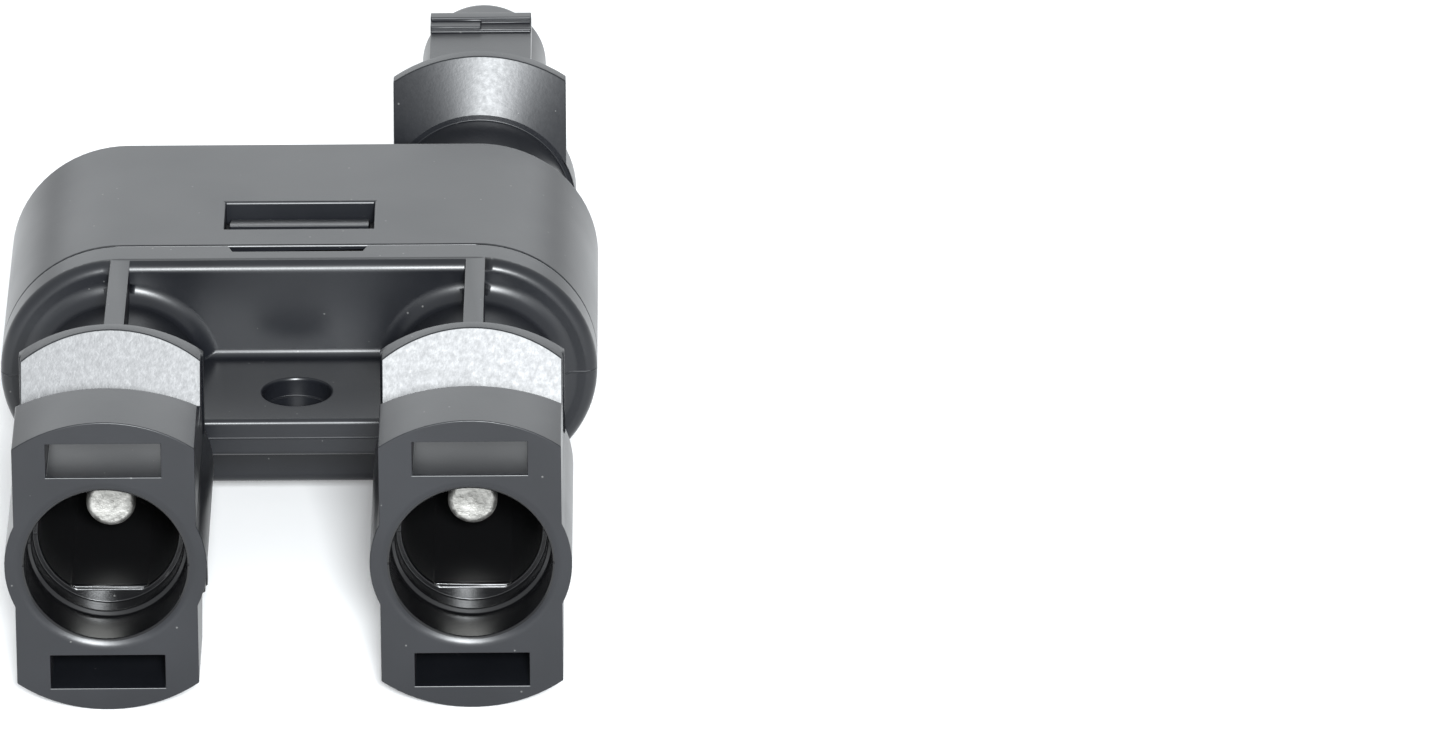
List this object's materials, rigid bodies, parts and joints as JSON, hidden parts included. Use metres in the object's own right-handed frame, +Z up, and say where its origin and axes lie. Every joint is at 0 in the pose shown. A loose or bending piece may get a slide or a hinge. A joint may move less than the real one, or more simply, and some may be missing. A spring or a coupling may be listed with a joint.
{
  "type": "solar cable connector",
  "caption": "Branch connector for solar cables: sockets at the front feed one latching plug at the rear through an internal busbar; a web holds a mounting hole.",
  "frame": {"origin": "centre of the mounting hole in the web between the sockets", "axes": "+X towards the plug's side, +Y from the sockets back to the plug, +Z up along the mounting hole"},
  "size_m": [0.0492, 0.1065, 0.0252],
  "materials": {
    "moulded_plastic": "black moulded plastic, fine grain, spark-eroded texture on ramps and flare",
    "carrier_plastic": "plain moulded insulator",
    "tinned_metal": "tin plated copper, dull warm silver",
    "busbar_metal": "tin plated copper strip",
    "spring_metal": "spring strip, bright",
    "solder": "bright solder",
    "seal_rubber": "soft black rubber"
  },
  "bodies": {
    "connector": {"socket_cap": "moulded_plastic", "main_housing": "moulded_plastic", "pin_contact_left": "tinned_metal", "pin_contact_right": "tinned_metal", "socket_contact": "tinned_metal", "contact_band": "spring_metal", "busbar": "busbar_metal", "busbar_carrier": "carrier_plastic", "solder_joints": "solder", "pin_clip_left": "spring_metal", "pin_clip_right": "spring_metal", "contact_clip": "spring_metal", "pin_seal_left": "seal_rubber", "pin_seal_right": "seal_rubber", "contact_seal": "seal_rubber", "nose_o_ring": "seal_rubber", "housing_gasket": "seal_rubber"},
    "upper_latch": {"latch_arm_upper": "moulded_plastic"},
    "lower_latch": {"latch_arm_lower": "moulded_plastic"},
    "upper_tongue": {"snap_tongue_upper": "moulded_plastic"},
    "lower_tongue": {"snap_tongue_lower": "moulded_plastic"}
  },
  "joints": [
    {"name": "upper_latch_flex", "type": "hinge", "parent": "connector", "child": "upper_latch", "pos_m": [0.0146, 0.04765, 0.0094], "axis": [-1, 0, 0], "range_deg": [0, 11], "stiffness_Nm_per_rad": 0.35},
    {"name": "lower_latch_flex", "type": "hinge", "parent": "connector", "child": "lower_latch", "pos_m": [0.0146, 0.04765, -0.0094], "axis": [1, 0, 0], "range_deg": [0, 11], "stiffness_Nm_per_rad": 0.35},
    {"name": "upper_tongue_flex", "type": "hinge", "parent": "connector", "child": "upper_tongue", "pos_m": [0, 0.0117, 0.007], "axis": [-1, 0, 0], "range_deg": [0, 24.5], "stiffness_Nm_per_rad": 0.2},
    {"name": "lower_tongue_flex", "type": "hinge", "parent": "connector", "child": "lower_tongue", "pos_m": [0, 0.0117, -0.007], "axis": [1, 0, 0], "range_deg": [0, 24.5], "stiffness_Nm_per_rad": 0.2}
  ]
}
